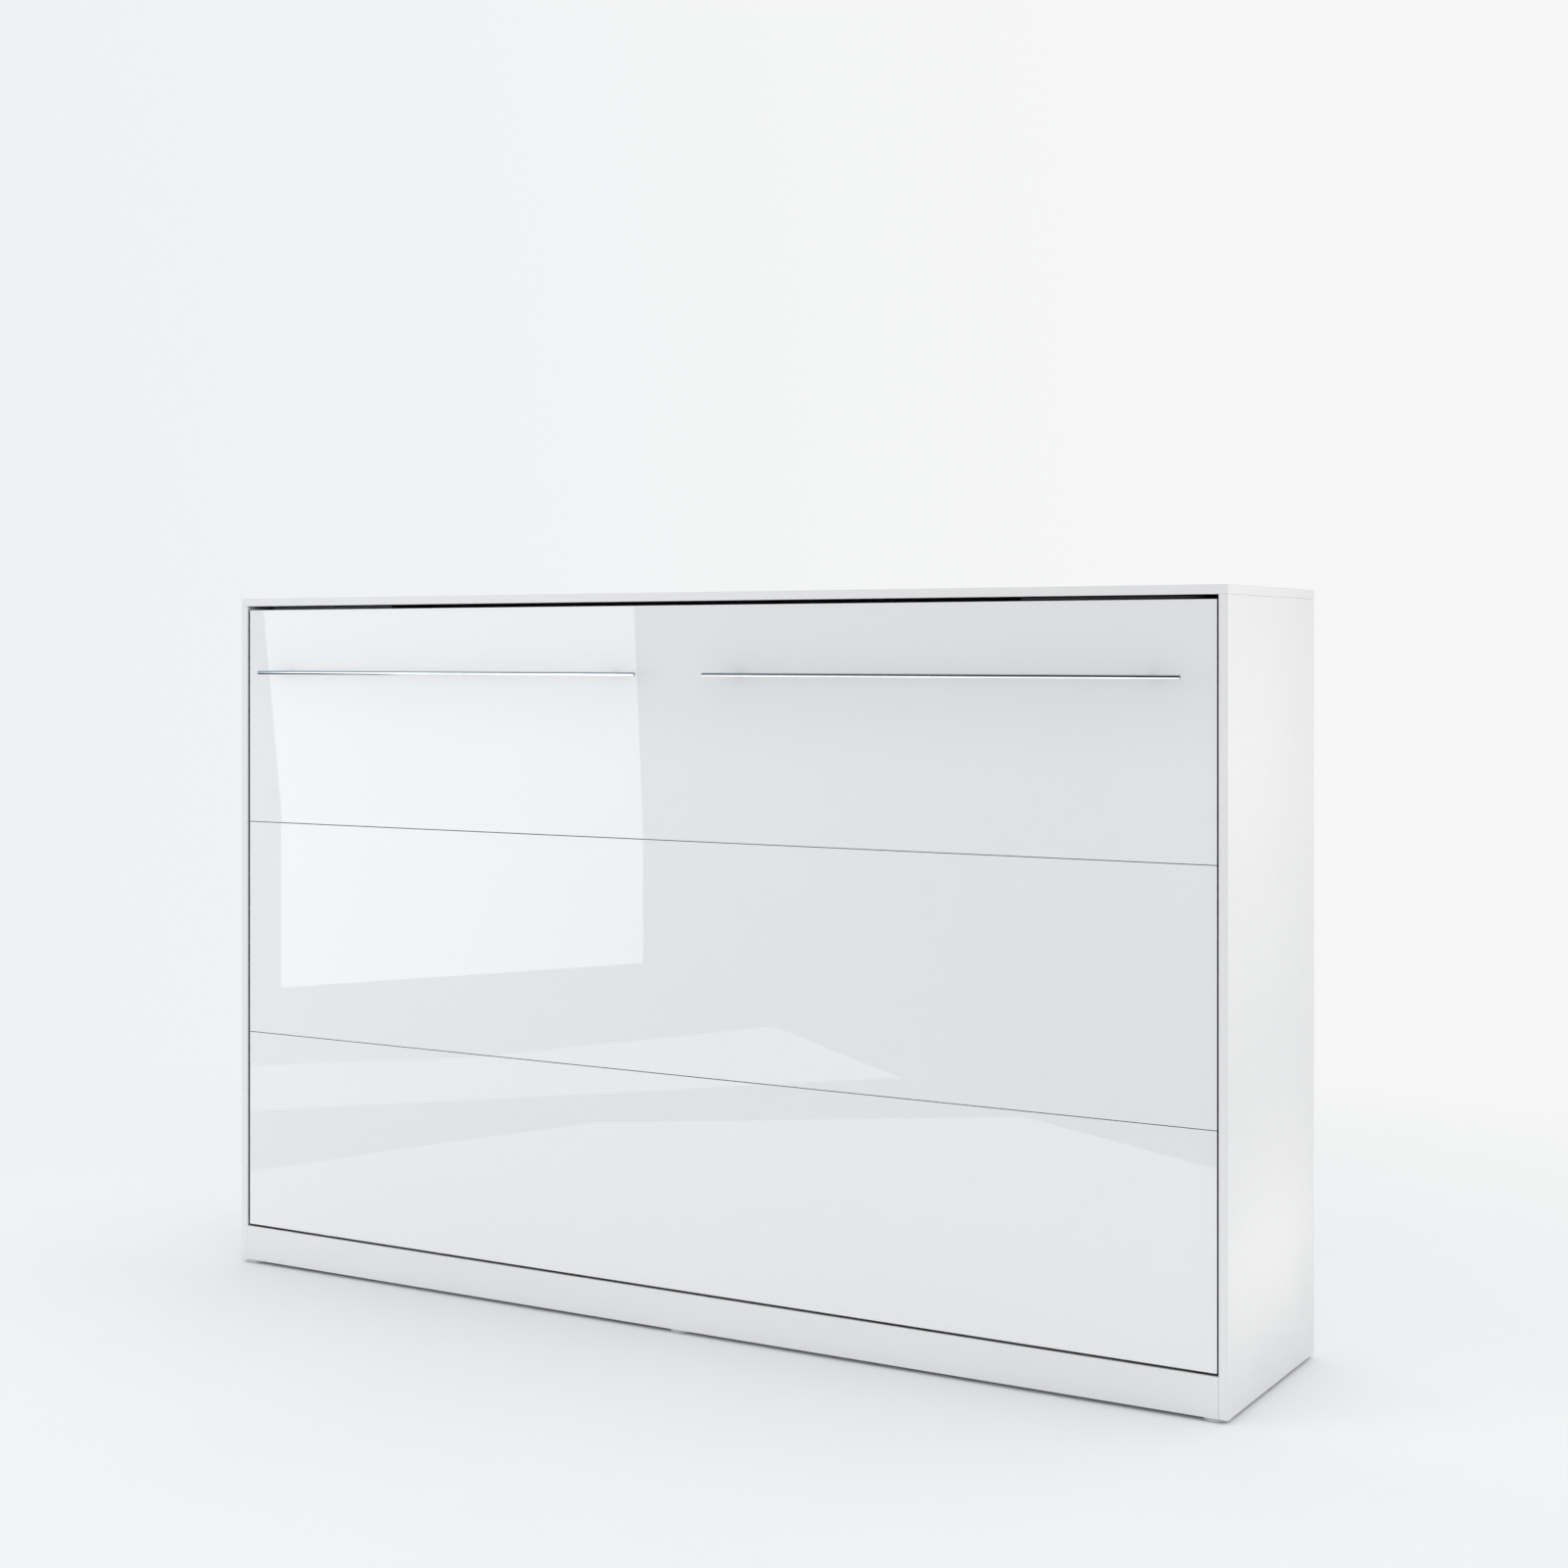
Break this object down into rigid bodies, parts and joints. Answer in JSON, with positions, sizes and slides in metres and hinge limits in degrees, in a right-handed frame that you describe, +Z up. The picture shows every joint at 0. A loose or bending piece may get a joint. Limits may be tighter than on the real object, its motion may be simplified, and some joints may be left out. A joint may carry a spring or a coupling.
{
  "type": "wall bed",
  "caption": "Horizontal folding wall bed: white cabinet, high-gloss front with two slim chrome bars, bed frame, slats and mattress inside, gas springs and swing-out legs.",
  "frame": {"origin": "on the floor, at the middle of the overall footprint, the handles included", "axes": "+Z up, +Y into the wall, +X to the right as seen from the front"},
  "size_m": [2.11, 0.493, 1.37],
  "materials": {
    "carcass_board": "white melamine-faced chipboard, matt with a fine texture",
    "hardboard": "thin white-faced hardboard",
    "white_plastic": "white extruded strip",
    "glide_plastic": "moulded plastic glide",
    "beech": "planed beech",
    "cam_metal": "zinc alloy cam and steel bolt",
    "zinc_plate": "zinc-plated steel",
    "screw_steel": "zinc-plated screws",
    "pin_steel": "turned steel",
    "buffer_rubber": "soft black rubber",
    "gloss_front": "white high-gloss lacquered board",
    "chrome": "polished chrome",
    "frame_paint": "silver-grey powder coat",
    "black_plastic": "black moulded plastic",
    "mattress_fabric": "quilted knitted cover, off-white",
    "webbing": "dark woven webbing",
    "bushing_plastic": "natural nylon",
    "cylinder_paint": "black painted steel",
    "guide_brass": "brass guide ring",
    "polished_rod": "ground and chromed rod",
    "leg_paint": "dark powder coat"
  },
  "bodies": {
    "cabinet": {"side_panel_left": "carcass_board", "side_panel_right": "carcass_board", "top_panel": "carcass_board", "plinth": "carcass_board", "rear_base_rail": "carcass_board", "upper_back_rail": "carcass_board", "back_panel_left": "hardboard", "back_panel_right": "hardboard", "back_joint_strip": "white_plastic", "base_braces": "carcass_board", "floor_glides": "glide_plastic", "cabinet_dowels": "beech", "cam_fittings": "cam_metal", "hinge_plate_left": "zinc_plate", "hinge_plate_right": "zinc_plate", "plate_screws": "screw_steel", "pivot_pins": "pin_steel", "cabinet_ball_studs": "pin_steel", "stop_brackets": "zinc_plate", "closing_buffers": "buffer_rubber"},
    "bed": {"front_panel_upper": "gloss_front", "front_panel_middle": "gloss_front", "front_panel_lower": "gloss_front", "handle_bar_left": "chrome", "handle_bar_right": "chrome", "handle_posts": "chrome", "handle_screws": "screw_steel", "bed_rail_top": "frame_paint", "bed_rail_bottom": "frame_paint", "bed_end_rail_left": "frame_paint", "bed_end_rail_right": "frame_paint", "bed_cross_tube_left": "frame_paint", "bed_cross_tube_right": "frame_paint", "rail_end_caps": "black_plastic", "panel_screws": "screw_steel", "slats": "beech", "slat_holders": "black_plastic", "mattress": "mattress_fabric", "mattress_straps": "webbing", "strap_buckles": "black_plastic", "bed_pivot_bracket_left": "frame_paint", "bed_pivot_bracket_right": "frame_paint", "pivot_bushings": "bushing_plastic", "bed_ball_studs": "pin_steel", "leg_brackets": "zinc_plate", "leg_pins": "screw_steel"},
    "left_gas_cylinder": {"gas_cylinder_left": "cylinder_paint", "gas_rod_guide_left": "guide_brass", "gas_upper_socket_left": "cylinder_paint"},
    "left_gas_rod": {"gas_rod_left": "polished_rod", "gas_lower_socket_left": "cylinder_paint"},
    "left_leg": {"leg_blade_left": "leg_paint", "leg_foot_left": "black_plastic"},
    "right_gas_cylinder": {"gas_cylinder_right": "cylinder_paint", "gas_rod_guide_right": "guide_brass", "gas_upper_socket_right": "cylinder_paint"},
    "right_gas_rod": {"gas_rod_right": "polished_rod", "gas_lower_socket_right": "cylinder_paint"},
    "right_leg": {"leg_blade_right": "leg_paint", "leg_foot_right": "black_plastic"}
  },
  "joints": [
    {"name": "bed_fold", "type": "hinge", "parent": "cabinet", "child": "bed", "pos_m": [0, -0.1695, 0.3], "axis": [1, 0, 0], "range_deg": [0, 90]},
    {"name": "left_cylinder_swing", "type": "hinge", "parent": "cabinet", "child": "left_gas_cylinder", "pos_m": [-1.0215, -0.11903, 0.48836], "axis": [1, 0, 0], "range_deg": [0, 45]},
    {"name": "left_rod_swing", "type": "hinge", "parent": "bed", "child": "left_gas_rod", "pos_m": [-1.0215, -0.1695, 0.105], "axis": [1, 0, 0], "range_deg": [-45, 0]},
    {"name": "right_cylinder_swing", "type": "hinge", "parent": "cabinet", "child": "right_gas_cylinder", "pos_m": [1.0215, -0.11903, 0.48836], "axis": [1, 0, 0], "range_deg": [0, 45]},
    {"name": "right_rod_swing", "type": "hinge", "parent": "bed", "child": "right_gas_rod", "pos_m": [1.0215, -0.1695, 0.105], "axis": [1, 0, 0], "range_deg": [-45, 0]},
    {"name": "left_leg_swing", "type": "hinge", "parent": "bed", "child": "left_leg", "pos_m": [-0.98, -0.1695, 1.347], "axis": [0, 0, -1], "range_deg": [0, 90]},
    {"name": "right_leg_swing", "type": "hinge", "parent": "bed", "child": "right_leg", "pos_m": [0.98, -0.1695, 1.347], "axis": [0, 0, 1], "range_deg": [0, 90]}
  ],
  "couplings": [
    {"joint": "left_cylinder_swing", "follows": "bed_fold", "ratio": 0.5},
    {"joint": "left_rod_swing", "follows": "bed_fold", "ratio": -0.5},
    {"joint": "right_cylinder_swing", "follows": "bed_fold", "ratio": 0.5},
    {"joint": "right_rod_swing", "follows": "bed_fold", "ratio": -0.5}
  ]
}
